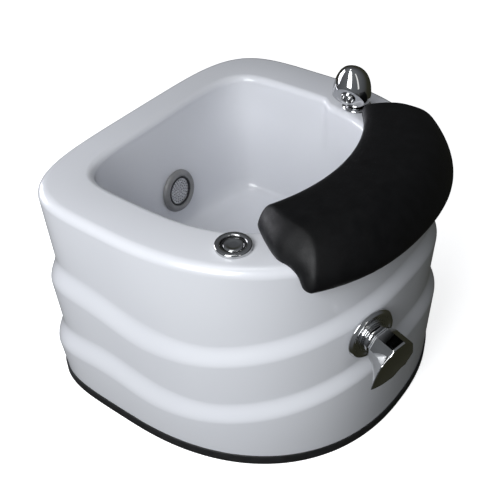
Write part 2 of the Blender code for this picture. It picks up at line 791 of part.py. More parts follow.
def inlet_tails(place):
    """Threaded hot and cold inlets below the valve block and the mixed outlet beside it."""
    tail = (
        (0.0045, GAP),
        (0.0075, GAP),
        (0.0075, 0.0150),
        (0.0058, 0.0180),
        (0.0058, 0.0300),
        (0.0045, 0.0300),
    )
    block = (0.0, 0.0, -0.036)
    for name, degrees in (("hot_inlet_tail", 240), ("cold_inlet_tail", 300), ("mixed_outlet_tail", 0)):
        turn = math.radians(degrees)
        outward = Vector((math.cos(turn), math.sin(turn), 0.0))
        local = axes_at(Vector(block) + outward * 0.0202, outward, up=(0, 0, 1))
        add_object(name, turned(tail, 12), "brass", place @ local)


def supply_hose():
    """Braided hose inside the skirt, from the mixer's outlet to the spout's shank."""
    place = mixer_place()
    start = place @ Vector((0.0508, 0.0, -0.036))
    along = place.to_3x3() @ Vector((1, 0, 0))
    end = Vector((*SPOUT_AT, DECK - 0.070 - GAP))
    points = (
        start,
        start + along * 0.020 + Vector((0, 0, 0.001)),
        (0.030, -0.196, 0.244),
        (0.090, -0.186, 0.262),
        (0.145, -0.152, 0.276),
        (0.186, -0.100, 0.282),
        (0.208, -0.050, 0.287),
        end - Vector((0, 0, 0.018)),
        end,
    )
    tube("supply_hose", points, 0.0058, "braided_hose")


# ---------------------------------------------------------------- drain


def drain():
    top = FLOOR - FLOOR_FALL
    place = Matrix.Translation((0.0, WIDEST_Y, top))
    flange = (
        (0.0200, 0.0004),
        (0.0200, 0.0022),
        (0.0230, 0.0032),
        (0.0340, 0.0022),
        (0.0350, 0.0011),
        (0.0350, 0.0004),
        (0.0240, 0.0004),
        (0.0240, -0.0300),
        (0.0200, -0.0300),
    )
    add_object("drain_flange", turned(flange, 24), "chrome", place)
    under = -BOWL_WALL - 0.0008
    gasket = ((0.0243, under), (0.0360, under), (0.0360, under - 0.003), (0.0243, under - 0.003))
    add_object("drain_gasket", turned(gasket, 24), "rubber_black", place)
    nut_top = under - 0.003 - GAP
    add_object("drain_nut", hex_ring(0.062, 0.0245, nut_top - 0.009, nut_top), "plastic_grey", place)
    tail = (
        (0.0243, -0.0200),
        (0.0290, -0.0200),
        (0.0290, -0.0340),
        (0.0205, -0.0420),
        (0.0205, -0.0900),
        (0.0180, -0.0900),
        (0.0180, -0.0400),
        (0.0243, -0.0330),
    )
    add_object("drain_tail", turned(tail, 24), "plastic_grey", place)
    disc = loft([circle(0.0197, -0.022, 16), circle(0.0197, -0.018, 16)], join_ends=False)
    strainer = add_object("drain_strainer", disc, "steel", place)
    drill(strainer, "plug_guide", 0.0044, -0.03, 0.0, place, sides=12)
    for i in range(6):
        turn = math.tau * i / 6
        spot = place @ Matrix.Translation((0.0122 * math.cos(turn), 0.0122 * math.sin(turn), 0.0))
        drill(strainer, f"strainer_slot_{i}", 0.0042, -0.03, 0.0, spot, sides=8)
    plug = (
        (0.0, 0.0040),
        (0.0120, 0.0034),
        (0.0188, 0.0012),
        (0.0188, -0.0030),
        (0.0040, -0.0050),
        (0.0040, -0.0280),
        (0.0, -0.0280),
    )
    add_object("drain_plug", turned(plug, 20), "chrome", place)


# ---------------------------------------------------------------- whirl jet


def jet_place():
    """Origin on the basin side of the back wall, local Z into the basin, local Y up the wall."""
    (high_grow, high), (low_grow, low) = WALL_HIGH, WALL_LOW
    out = high_grow - low_grow
    blend = (JET_HEIGHT - low) / (high - low)
    wall_y = opening_point(low_grow, math.pi / 2, low).y + out * blend
    return axes_at((JET_X, wall_y, JET_HEIGHT), (0.0, low - high, out))


def whirl_jet(bowl):
    place = jet_place()
    drill(bowl, "jet_hole", 0.0275, -0.015, 0.015, place, sides=20)
    ring = (
        (0.0268, 0.0006),
        (0.0390, 0.0006),
        (0.0390, 0.0030),
        (0.0365, 0.0075),
        (0.0330, 0.0090),
        (0.0290, 0.0085),
        (0.0268, 0.0065),
    )
    add_object("jet_ring", turned(ring, 28), "plastic_grey", place)
    housing = (
        (0.0, -0.0280),
        (0.0264, -0.0280),
        (0.0264, 0.0070),
        (0.0238, 0.0070),
        (0.0238, -0.0255),
        (0.0, -0.0255),
    )
    add_object("jet_housing", turned(housing, 20), "plastic_black", place)
    disc = loft([circle(0.0234, 0.0030, 20), circle(0.0234, 0.0050, 20)], join_ends=False)
    screen = add_object("jet_screen", disc, "steel", place)
    for count, radius in ((6, 0.0085), (10, 0.0170)):
        for i in range(count):
            turn = math.tau * i / count
            spot = place @ Matrix.Translation((radius * math.cos(turn), radius * math.sin(turn), 0.0))
            drill(screen, f"screen_hole_{count}_{i}", 0.0024, 0.0, 0.009, spot, sides=6)
    back = -BOWL_WALL - 0.0006
    gasket = ((0.0268, back), (0.0370, back), (0.0370, back - 0.0025), (0.0268, back - 0.0025))
    add_object("jet_gasket", turned(gasket, 20), "rubber_black", place)
    nut_top = back - 0.0025 - GAP
    add_object("jet_nut", hex_ring(0.066, 0.0272, nut_top - 0.008, nut_top), "plastic_grey", place)
    pin = ((0.0, -0.0252), (0.0015, -0.0252), (0.0015, -0.0055), (0.0, -0.0055))
    add_object("impeller_pin", turned(pin, 8), "steel", place)
    impeller(place)
    motor(place)


def impeller(place):
    """Six-bladed impeller with a bore for its pin."""
    sides = 24
    outline = []
    for i in range(sides):
        radius = (0.0195, 0.0185, 0.0095, 0.0085)[i % 4]
        angle = math.tau * i / sides
        outline.append((radius * math.cos(angle), radius * math.sin(angle)))
    bore = [(x, y) for x, y, _ in circle(0.0019, 0.0, sides)]
    rings = [
        [(x, y, -0.0220) for x, y in outline],
        [(x, y, -0.0100) for x, y in outline],
        [(x, y, -0.0100) for x, y in bore],
        [(x, y, -0.0220) for x, y in bore],
    ]
    add_object("jet_impeller", loft(rings, join_ends=True), "plastic_white", place)


def motor(place):
    """Dry side of the jet: a magnet turns behind the closed housing and drags the impeller round."""
    front = -0.0280 - GAP
    can = (
        (0.0330, front),
        (0.0330, -0.0600),
        (0.0, -0.0600),
        (0.0, -0.0580),
        (0.0305, -0.0580),
        (0.0305, front),
    )
    add_object("motor_housing", turned(can, 20), "plastic_black", place)
    stator = ((0.0050, -0.0440), (0.0300, -0.0440), (0.0300, -0.0575), (0.0050, -0.0575))
    add_object("motor_stator", turned(stator, 16), "steel", place)
    magnet = (
        (0.0, -0.0310),
        (0.0220, -0.0310),
        (0.0220, -0.0400),
        (0.0044, -0.0400),
        (0.0044, -0.0560),
        (0.0, -0.0560),
    )
    add_object("drive_magnet", turned(magnet, 16), "steel", place)


# ---------------------------------------------------------------- controls inside the skirt


def control_unit(shell):
    """Air switch, board and box on the base board, with the tube, cable and inlet that reach it."""
    low = Vector((-0.150, 0.150, BOARD_TOP + GAP))
    high = Vector((-0.060, 0.210, 0.086))
    wall = Vector((0.0025, 0.0025, 0.0025))
    above_top = Vector((0.0, 0.0, 0.010))
    tray = add_object("control_box", box(low, high), "plastic_white")
    space = add_object("control_box_space", box(low + wall, high - wall + above_top), "plastic_white")
    cut(tray, space)
    overhang = Vector((0.001, 0.001, 0.0))
    lid_low = Vector((low.x, low.y, high.z + GAP)) - overhang
    lid_high = Vector((high.x, high.y, high.z + 0.003)) + overhang
    add_object("control_lid", box(lid_low, lid_high), "plastic_white")
    board_low = low + Vector((0.006, 0.006, 0.008))
    board_high = Vector((high.x - 0.006, high.y - 0.006, board_low.z + 0.0016))
    add_object("control_board", box(board_low, board_high), "circuit_board")
    air_switch(low)
    motor_cable(high)
    mains_gland(shell)


def air_switch(box_low):
    """Switch on the front of the box, worked by a puff of air from the deck button."""
    origin = Vector((-0.130, box_low.y - GAP, 0.060))
    barb_end = 0.020
    switch = (
        (0.0, 0.0),
        (0.0090, 0.0),
        (0.0090, 0.0100),
        (0.0030, 0.0120),
        (0.0030, barb_end),
        (0.0, barb_end),
    )
    add_object("air_switch", turned(switch, 12), "plastic_black", axes_at(origin, (0, -1, 0)))
    air_end = origin - Vector((0.0, barb_end + GAP, 0.0))
    button_foot = Vector((*BUTTON_AT, DECK - BUTTON_DEPTH - GAP))
    points = (
        button_foot,
        button_foot - Vector((0.0, 0.0, 0.020)),
        (-0.210, -0.060, 0.270),
        (-0.216, -0.020, 0.190),
        (-0.200, 0.030, 0.115),
        (-0.165, 0.075, 0.072),
        air_end - Vector((0.0, 0.022, 0.0)),
        air_end,
    )
    tube("air_tube", points, 0.0025, "clear_tube")


def motor_cable(box_high):
    motor_foot = jet_place() @ Vector((0.0, -0.0338, -0.048))
    box_side = Vector((box_high.x + GAP, box_high.y - 0.025, box_high.z - 0.020))
    points = (
        motor_foot,
        motor_foot - Vector((0.001, 0.001, 0.018)),
        (-0.012, 0.226, 0.140),
        (-0.020, 0.222, 0.095),
        (-0.024, 0.204, 0.074),
        box_side + Vector((0.018, 0.0, 0.0)),
        box_side,
    )
    tube("motor_cable", points, 0.0030, "rubber_black")


def mains_gland(shell):
    """Cable inlet low in the back of the skirt."""
    angle = math.pi / 2 - math.atan2(GLAND_X, RIM["back"])
    grow = skirt_grow(angle, GLAND_HEIGHT)
    wall_point = plan_point(RIM, grow, angle)
    place = axes_at((wall_point.x, wall_point.y, GLAND_HEIGHT), plan_normal(RIM, grow, angle))
    drill(shell, "gland_hole", 0.0078, -0.02, 0.02, place, sides=12)
    add_object("cable_gland", hex_ring(0.018, 0.0040, 0.0008, 0.0034), "plastic_black", place)
    bush = ((0.0040, -0.0150), (0.0074, -0.0150), (0.0074, 0.0004), (0.0040, 0.0004))
    add_object("gland_bush", turned(bush, 12), "plastic_black", place)
    back = -SHELL_WALL - 0.0016
    add_object("gland_nut", hex_ring(0.022, 0.0077, back - 0.004, back), "plastic_black", place)


def main():
    clear_scene()
    shell = outer_shell()
    bowl = basin_bowl()
    base_trim()
    base_board()
    plate = footrest()
    footrest_screws(shell, plate)
    air_button(shell)
    spout(shell)
    mixer(shell)
    supply_hose()
    drain()
    whirl_jet(bowl)
    control_unit(shell)


main()
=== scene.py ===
"""Looks of the pedicure foot bath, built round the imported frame.

Metres, +Z up. -Y is the front, where the footrest pad and the mixer are.
"""

import json
import math

import bmesh
import bpy
from mathutils import Matrix, Vector


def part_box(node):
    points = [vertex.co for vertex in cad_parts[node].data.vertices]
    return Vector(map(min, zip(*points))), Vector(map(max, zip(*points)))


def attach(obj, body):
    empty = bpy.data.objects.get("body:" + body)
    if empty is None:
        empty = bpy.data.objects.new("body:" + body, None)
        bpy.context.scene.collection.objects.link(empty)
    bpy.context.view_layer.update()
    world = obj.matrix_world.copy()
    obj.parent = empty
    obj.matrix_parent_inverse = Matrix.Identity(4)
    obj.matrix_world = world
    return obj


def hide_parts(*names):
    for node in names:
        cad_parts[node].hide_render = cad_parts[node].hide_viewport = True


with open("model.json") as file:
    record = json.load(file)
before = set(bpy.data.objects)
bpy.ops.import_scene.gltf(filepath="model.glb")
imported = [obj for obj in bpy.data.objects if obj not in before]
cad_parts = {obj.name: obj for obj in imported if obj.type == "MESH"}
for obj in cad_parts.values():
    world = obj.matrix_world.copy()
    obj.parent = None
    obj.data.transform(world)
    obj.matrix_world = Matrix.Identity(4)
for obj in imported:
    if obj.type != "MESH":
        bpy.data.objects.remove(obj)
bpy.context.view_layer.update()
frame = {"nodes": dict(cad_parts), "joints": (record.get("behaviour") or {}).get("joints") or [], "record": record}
joints = {joint["name"]: joint for joint in frame["joints"]}

# Shell, seen from above: two half superellipses that share their widest line
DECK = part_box("outer_shell")[1].z
WIDEST_Y = 0.0852
RIM = {"half_width": 0.287, "front": 0.328, "front_power": 2.3, "back": 0.211, "back_power": 4.5}
OPENING = {"half_width": 0.202, "front": 0.228, "front_power": 2.5, "back": 0.147, "back_power": 5.2}
SHELL_SIDES = 288
SHELL_WALL = 0.005
OUTER_ROLL = 0.015
INNER_ROLL = 0.011
LIP_DEPTH = 0.016
PLATFORM_WIDTH = 0.013

# Waves of the skirt
WAVE_CENTRE_Y = 0.0652
UPPER_WAVE = ((0, 0.271), (82, 0.195), (111, 0.215), (142, 0.198), (180, 0.217))
LOWER_WAVE = ((0, 0.159), (80, 0.082), (102, 0.094), (130, 0.073), (180, 0.091))
SHOULDER_HEIGHT_FRONT = 0.034
SHOULDER_HEIGHT_SIDE = 0.050
SHOULDER_ROWS = 12
TIER_TAPER = 0.003
SHOULDER_STEP = 0.012
FOOT_GROW = 0.0145
FOOT_TOP = 0.022
SKIRT_BOTTOM = 0.003

# Edging and bowl
TRIM_WALL = 0.0022
TRIM_HEIGHT = 0.0186
TRIM_INNER_HEIGHT = 0.012
BOWL_WALL = 0.004
FLOOR = 0.160
BOWL_INSIDE = (
    (0.0, DECK - LIP_DEPTH),
    (-0.004, 0.320),
    (-0.012, 0.260),
    (-0.020, 0.200),
    (-0.0245, 0.180),
    (-0.034, 0.167),
    (-0.050, FLOOR + 0.001),
)

# Footrest pad
PAD_TURN = math.radians(5)
PAD_INNER_RADIUS = 0.2075
PAD_SHIFT = -0.006
PAD_INNER_SPREAD = 0.030
PAD_STATIONS = 23

# Mixer handle and spout
LEVER_DIRECTION = math.radians(212)
SPOUT_HEADING = math.radians(187)
SPOUT_FOOT = 0.0064
SPOUT_SHOULDER = 0.0373
SPOUT_TOP = 0.0882
SPOUT_NECK = 0.0185
SPOUT_FRONT = 0.0565
SPOUT_BACK = 0.0038
SPOUT_HALF_WIDTH = 0.0322
SPOUT_LEAN = 0.0365
SPOUT_SWELL = 1.3
OUTLET_REACH = 0.0416
OUTLET_HEIGHT = 0.0363
OUTLET_DIP = math.radians(30)


# ---------------------------------------------------------------- materials


class Paint:
    """A Principled material with a few short ways to add texture to it."""

    def __init__(self, name, colour, roughness, metallic=0.0, **sockets):
        self.material = bpy.data.materials.new(name)
        self.material.use_nodes = True
        self.nodes = self.material.node_tree.nodes
        self.links = self.material.node_tree.links
        self.shader = self.nodes["Principled BSDF"]
        self.coordinates = self.nodes.new("ShaderNodeTexCoord").outputs["Object"]
        self.height = None
        self.set("Base Color", (*colour, 1.0))
        self.set("Roughness", roughness)
        self.set("Metallic", metallic)
        for socket, value in sockets.items():
            self.set(socket.replace("_", " ").capitalize(), value)

    def set(self, socket, value):
        names = {item.name.lower(): item for item in self.shader.inputs}
        names[socket.lower()].default_value = value

    def noise(self, scale, detail=3.0, roughness=0.55, stretch=(1, 1, 1)):
        texture = self.nodes.new("ShaderNodeTexNoise")
        texture.inputs["Scale"].default_value = scale
        texture.inputs["Detail"].default_value = detail
        texture.inputs["Roughness"].default_value = roughness
        self.links.new(self.placed(stretch), texture.inputs["Vector"])
        return texture.outputs["Fac"]

    def cells(self, scale, feature="F1"):
        texture = self.nodes.new("ShaderNodeTexVoronoi")
        texture.feature = feature
        texture.inputs["Scale"].default_value = scale
        self.links.new(self.coordinates, texture.inputs["Vector"])
        return texture.outputs["Distance"]

    def wave(self, scale, distortion=0.0, direction="X", stretch=(1, 1, 1), turn=(0, 0, 0)):
        texture = self.nodes.new("ShaderNodeTexWave")
        texture.bands_direction = direction
        texture.inputs["Scale"].default_value = scale
        texture.inputs["Distortion"].default_value = distortion
        self.links.new(self.placed(stretch, turn), texture.inputs["Vector"])
        return texture.outputs["Fac"]

    def placed(self, stretch, turn=(0, 0, 0)):
        mapping = self.nodes.new("ShaderNodeMapping")
        mapping.inputs["Scale"].default_value = stretch
        mapping.inputs["Rotation"].default_value = turn
        self.links.new(self.coordinates, mapping.inputs["Vector"])
        return mapping.outputs["Vector"]

    def ramp(self, factor, stops):
        """Colours or greys along a texture's value."""
        node = self.nodes.new("ShaderNodeValToRGB")
        self.links.new(factor, node.inputs["Fac"])
        elements = node.color_ramp.elements
        while len(elements) < len(stops):
            elements.new(0.5)
        for element, (position, colour) in zip(elements, stops):
            element.position = position
            element.color = (*colour, 1.0) if isinstance(colour, tuple) else (colour, colour, colour, 1.0)
        return node.outputs["Color"]

    def feed(self, socket, output):
        names = {item.name.lower(): item for item in self.shader.inputs}
        self.links.new(output, names[socket.lower()])

    def bump(self, height, strength, distance):
        node = self.nodes.new("ShaderNodeBump")
        node.inputs["Strength"].default_value = strength
        node.inputs["Distance"].default_value = distance
        self.links.new(height, node.inputs["Height"])
        if self.height:
            self.links.new(self.height, node.inputs["Normal"])
        self.height = node.outputs["Normal"]
        self.links.new(self.height, self.shader.inputs["Normal"])


def make_gelcoat():
    paint = Paint("gelcoat", (0.80, 0.81, 0.84), 0.22, coat_weight=0.35, coat_roughness=0.07)
    cloud = paint.noise(4.0, detail=2.0)
    paint.feed("Base Color", paint.ramp(cloud, ((0.3, (0.765, 0.775, 0.815)), (0.7, (0.80, 0.81, 0.845)))))
    paint.feed("Roughness", paint.ramp(paint.noise(23.0, detail=5.0), ((0.3, 0.19), (0.75, 0.27))))
    paint.bump(paint.noise(26.0, detail=1.0), 0.10, 0.0012)
    paint.bump(paint.noise(420.0, detail=2.0), 0.04, 0.0002)
    return paint.material


def make_edging_rubber():
    paint = Paint("edging_rubber", (0.012, 0.012, 0.013), 0.55)
    mottle = paint.noise(60.0, detail=5.0)
    shades = ((0.3, (0.008, 0.008, 0.009)), (0.75, (0.020, 0.020, 0.021)))
    paint.feed("Base Color", paint.ramp(mottle, shades))
    paint.feed("Roughness", paint.ramp(mottle, ((0.3, 0.45), (0.8, 0.68))))
    paint.bump(paint.noise(900.0, detail=3.0), 0.25, 0.0003)
    return paint.material


def make_foam_skin():
    paint = Paint("foam_skin", (0.006, 0.006, 0.008), 0.5, sheen_weight=0.02, sheen_roughness=0.4)
    paint.set("Specular IOR Level", 0.3)
    paint.set("Sheen Tint", (0.62, 0.60, 0.78, 1.0))
    mottle = paint.noise(38.0, detail=6.0, roughness=0.6)
    shades = ((0.35, (0.0008, 0.0008, 0.001)), (0.7, (0.0025, 0.0025, 0.003)))
    paint.feed("Base Color", paint.ramp(mottle, shades))
    paint.feed("Roughness", paint.ramp(paint.noise(55.0, detail=6.0), ((0.3, 0.40), (0.72, 0.60))))
    paint.bump(paint.cells(520.0), 0.22, 0.0004)
    paint.bump(paint.noise(110.0, detail=4.0), 0.16, 0.0008)
    return paint.material


def make_chrome():
    paint = Paint("chrome", (0.55, 0.55, 0.555), 0.05, 1.0)
    paint.feed("Roughness", paint.ramp(paint.noise(70.0, detail=5.0), ((0.35, 0.035), (0.8, 0.085))))
    shades = ((0.3, (0.53, 0.535, 0.54)), (0.7, (0.60, 0.60, 0.60)))
    paint.feed("Base Color", paint.ramp(paint.noise(25.0), shades))
    paint.bump(paint.noise(160.0, detail=2.0), 0.03, 0.0003)
    return paint.material


def make_metal(name, dark, light, rough_low, rough_high, stretch):
    paint = Paint(name, light, rough_low, 1.0)
    grain = paint.noise(240.0, detail=4.0, stretch=stretch)
    paint.feed("Base Color", paint.ramp(grain, ((0.3, dark), (0.7, light))))
    paint.feed("Roughness", paint.ramp(grain, ((0.3, rough_low), (0.7, rough_high))))
    paint.bump(grain, 0.08, 0.0002)
    return paint.material


def make_plastic(name, dark, light, rough_low, rough_high, grain=700.0, relief=0.15):
    paint = Paint(name, light, rough_low)
    mottle = paint.noise(30.0, detail=6.0, roughness=0.65)
    paint.feed("Base Color", paint.ramp(mottle, ((0.3, dark), (0.7, light))))
    paint.feed("Roughness", paint.ramp(mottle, ((0.3, rough_low), (0.7, rough_high))))
    paint.bump(paint.noise(grain, detail=2.0), relief, 0.0002)
    return paint.material


def make_plywood():
    paint = Paint("sealed_plywood", (0.50, 0.35, 0.20), 0.6)
    rings = paint.wave(6.0, distortion=7.0, direction="Y", stretch=(0.6, 5.0, 1.0))
    fibres = paint.noise(90.0, detail=6.0, stretch=(1.0, 14.0, 1.0))
    paint.feed("Base Color", paint.ramp(rings, ((0.2, (0.34, 0.22, 0.12)), (0.8, (0.55, 0.40, 0.24)))))
    paint.feed("Roughness", paint.ramp(fibres, ((0.3, 0.5), (0.7, 0.75))))
    paint.bump(fibres, 0.3, 0.0004)
    return paint.material


def make_braid():
    paint = Paint("wire_braid", (0.6, 0.6, 0.61), 0.35, 0.9)
    one_way = paint.wave(330.0, turn=(0.0, 0.0, math.radians(38)))
    paint.feed("Base Color", paint.ramp(one_way, ((0.1, (0.18, 0.18, 0.19)), (0.6, (0.72, 0.72, 0.73)))))
    paint.bump(one_way, 0.6, 0.0005)
    return paint.material


def make_circuit():
    paint = Paint("circuit_board", (0.03, 0.16, 0.07), 0.4)
    tracks = paint.wave(140.0, distortion=3.0, direction="X")
    paint.feed("Base Color", paint.ramp(tracks, ((0.45, (0.02, 0.12, 0.05)), (0.6, (0.05, 0.24, 0.10)))))
    paint.bump(tracks, 0.2, 0.0001)
    return paint.material


FINISHES = {
    "gelcoat_white": make_gelcoat(),
    "rubber_black": make_edging_rubber(),
    "foam_black": make_foam_skin(),
    "chrome": make_chrome(),
    "brass": make_metal("brass", (0.60, 0.42, 0.17), (0.78, 0.58, 0.28), 0.25, 0.42, (1, 1, 6)),
    "steel": make_metal("steel", (0.48, 0.48, 0.49), (0.68, 0.68, 0.69), 0.22, 0.38, (5, 1, 1)),
    "plastic_grey": make_plastic("grey_plastic", (0.20, 0.20, 0.205), (0.27, 0.27, 0.27), 0.30, 0.42),
    "plastic_black": make_plastic("black_plastic", (0.014, 0.014, 0.015), (0.024, 0.024, 0.026), 0.35, 0.55),
    "plastic_white": make_plastic("white_plastic", (0.70, 0.70, 0.69), (0.78, 0.78, 0.77), 0.35, 0.50),
    "plywood": make_plywood(),
    "braided_hose": make_braid(),
    "clear_tube": make_plastic("clear_tube", (0.60, 0.64, 0.66), (0.74, 0.78, 0.80), 0.15, 0.25, relief=0.03),
    "circuit_board": make_circuit(),
}


# ---------------------------------------------------------------- mesh helpers


def make_piece(name, bm, finish, body, stands_for=(), place=None, sharp_angle=40):
    """Turns a bmesh into a piece that rides on a CAD body and stands for CAD nodes."""
    bmesh.ops.recalc_face_normals(bm, faces=bm.faces)
    mesh = bpy.data.meshes.new(name)
    bm.to_mesh(mesh)
    bm.free()
    mesh.shade_smooth()
    mesh.set_sharp_from_angle(angle=math.radians(sharp_angle))
    mesh.materials.append(FINISHES[finish])
    made = bpy.data.objects.new(name, mesh)
    bpy.context.scene.collection.objects.link(made)
    made.matrix_world = place or Matrix.Identity(4)
    if body:
        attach(made, body)
    if stands_for:
        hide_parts(*stands_for)
    return made


def loft(rings, join_ends, cap_ends=True):
    bm = bmesh.new()
    loops = [[bm.verts.new(point) for point in ring] for ring in rings]
    pairs = list(zip(loops, loops[1:]))
    if join_ends:
        pairs.append((loops[-1], loops[0]))
    for near, far in pairs:
        for i, vert in enumerate(near):
            j = (i + 1) % len(near)
            bm.faces.new((vert, near[j], far[j], far[i]))
    if cap_ends and not join_ends:
        bm.faces.new(loops[0])
        bm.faces.new(list(reversed(loops[-1])))
    return bm


def rounded(profile, radius, steps=3):
    """A closed outline of (radius, height) points with its corners rounded, except on the axis."""
    points = [Vector(point) for point in profile]
    smooth = []
    for i, corner in enumerate(points):
        before, after = points[i - 1], points[(i + 1) % len(points)]
        if corner.x <= 0:
            smooth.append(tuple(corner))
            continue
        back = min(radius, 0.45 * (before - corner).length)
        ahead = min(radius, 0.45 * (after - corner).length)
        start = corner + (before - corner).normalized() * back
        end = corner + (after - corner).normalized() * ahead
        for k in range(steps + 1):
            t = k / steps
            smooth.append(tuple(start * (1 - t) ** 2 + corner * (2 * t * (1 - t)) + end * t**2))
    return smooth


def turned(profile, sides=72):
    """Spins a closed outline of (radius, height) points once round local Z."""
    bm = bmesh.new()
    rows = []
    for radius, height in profile:
        if radius <= 1e-7:
            rows.append([bm.verts.new((0.0, 0.0, height))] * sides)
            continue
        turns = [math.tau * i / sides for i in range(sides)]
        rows.append([bm.verts.new((radius * math.cos(t), radius * math.sin(t), height)) for t in turns])
    for near, far in zip(rows, rows[1:] + rows[:1]):
        for i in range(sides):
            j = (i + 1) % sides
            corners = []
            for vert in (near[i], near[j], far[j], far[i]):
                if vert not in corners:
                    corners.append(vert)
            if len(corners) > 2:
                bm.faces.new(corners)
    return bm


def smooth_line(points, steps):
    """Catmull-Rom points through a list of points, with plain ends."""
    knots = [Vector(point) for point in points]
    padded = [knots[0] * 2 - knots[1]] + knots + [knots[-1] * 2 - knots[-2]]
    line = []
    for a, b, c, d in zip(padded, padded[1:], padded[2:], padded[3:]):
        for i in range(steps):
            t = i / steps
            square = (2 * a - 5 * b + 4 * c - d) * t**2
            cube = (3 * b - a - 3 * c + d) * t**3
            line.append(0.5 * (2 * b + (c - a) * t + square + cube))
    return line + [knots[-1]]


def axes_at(origin, outward, up=(0, 0, 1)):
    """A place whose local Z points outward and whose local Y is as near to up as it can be."""
    z_axis = Vector(outward).normalized()
    x_axis = Vector(up).cross(z_axis).normalized()
    y_axis = z_axis.cross(x_axis)
    place = Matrix((x_axis, y_axis, z_axis)).transposed().to_4x4()
    place.translation = Vector(origin)
    return place


def cut_away(piece, cutters):
    """Cuts bmeshes, each with its place, out of a piece and keeps the result as its mesh."""
    whole = bmesh.new()
    for shape, place in cutters:
        bmesh.ops.recalc_face_normals(shape, faces=shape.faces)
        bmesh.ops.transform(shape, matrix=place, verts=shape.verts)
        step = bpy.data.meshes.new("cutter")
        shape.to_mesh(step)
        shape.free()
        whole.from_mesh(step)
        bpy.data.meshes.remove(step)
    mesh = bpy.data.meshes.new("cutter")
    whole.to_mesh(mesh)
    whole.free()
    tool = bpy.data.objects.new("cutter", mesh)
    bpy.context.scene.collection.objects.link(tool)
    tool.matrix_world = piece.matrix_world.copy()
    step = piece.modifiers.new("cut", "BOOLEAN")
    step.solver = "EXACT"
    step.object = tool
    keep_modifiers(piece)
    bpy.data.objects.remove(tool, do_unlink=True)
    piece.data.set_sharp_from_angle(angle=math.radians(40))


def keep_modifiers(piece):
    """Applies a piece's modifiers."""
    bpy.context.view_layer.update()
    graph = bpy.context.evaluated_depsgraph_get()
    result = bpy.data.meshes.new_from_object(piece.evaluated_get(graph), depsgraph=graph)
    piece.modifiers.clear()
    piece.data = result
    piece.data.shade_smooth()


def soften(piece, width):
    """Rounds a piece's sharp edges a little, so that they catch the light."""
    step = piece.modifiers.new("soften", "BEVEL")
    step.width = width
    step.segments = 2
    step.limit_method = "ANGLE"
    step.angle_limit = math.radians(35)
    step.harden_normals = True
    keep_modifiers(piece)


def circle(radius, height, sides=48):
    turns = [math.tau * i / sides for i in range(sides)]
    return [(radius * math.cos(t), radius * math.sin(t), height) for t in turns]


def rod(radius, low, high, sides=48):
    return loft([circle(radius, low, sides), circle(radius, high, sides)], join_ends=False)


# ---------------------------------------------------------------- outlines of the shell


def ease(t):
    t = min(max(t, 0.0), 1.0)
    return t * t * (3 - 2 * t)


def reach(plan, grow, angle):
    """Distance from the middle of the widest line to a grown outline, at an angle from +X."""
    end = "back" if math.sin(angle) > 0 else "front"
    depth, power = plan[end], plan[end + "_power"]
    across = abs(math.cos(angle)) / (plan["half_width"] + grow)
    along = abs(math.sin(angle)) / (depth + grow)
    return (across**power + along**power) ** (-1 / power)


def plan_point(plan, grow, angle):
    distance = reach(plan, grow, angle)
    return Vector((distance * math.cos(angle), WIDEST_Y + distance * math.sin(angle)))


ANGLES = [-math.pi / 2 + math.tau * i / SHELL_SIDES for i in range(SHELL_SIDES)]


def wave_height(wave, degrees):
    for (start, low), (end, high) in zip(wave, wave[1:]):
        if degrees <= end:
            blend = (1 - math.cos(math.pi * (degrees - start) / (end - start))) / 2
            return low + (high - low) * blend
    return wave[-1][1]


def skirt_line(angle):
    """Outer skirt at one angle, top to bottom, as (grow, height) points below the rolled edge."""
    point = plan_point(RIM, 0.0, angle)
    degrees = math.degrees(math.atan2(abs(point.x), WAVE_CENTRE_Y - point.y))
    blend = ease((degrees - 60) / 30)
    shoulder = SHOULDER_HEIGHT_FRONT + (SHOULDER_HEIGHT_SIDE - SHOULDER_HEIGHT_FRONT) * blend
    line = []
    start = 0.0
    for wave in (UPPER_WAVE, LOWER_WAVE):
        low = wave_height(wave, degrees)
        inner = start - TIER_TAPER
        for row in range(SHOULDER_ROWS + 1):
            down = row / SHOULDER_ROWS
            line.append((inner + SHOULDER_STEP * ease(down), low + shoulder * (1 - down)))
        start = inner + SHOULDER_STEP
    line.append((FOOT_GROW, FOOT_TOP))
    return line


def opening_ring(grow, height):
    ring = []
    for angle in ANGLES:
        point = plan_point(OPENING, grow, angle)
        if point.x > 0:
            forward = WIDEST_Y - point.y
            window = ease((forward - 0.045) / 0.025) * (1 - ease((forward - 0.165) / 0.050))
            fade = ease(1 - (DECK - height) / 0.120)
            point.x -= PLATFORM_WIDTH * window * fade
        ring.append((*point, height))
    return ring


def rim_ring(grow, height):
    return [(*plan_point(RIM, grow, angle), height) for angle in ANGLES]


def roll(radius, steps=8):
    """Quarter circle as (distance in from the face, distance below the top)."""
    turns = [math.pi / 2 * i / steps for i in range(steps + 1)]
    return [(radius * (1 - math.cos(t)), radius * (1 - math.sin(t))) for t in turns]


# ---------------------------------------------------------------- shell, bowl and edging


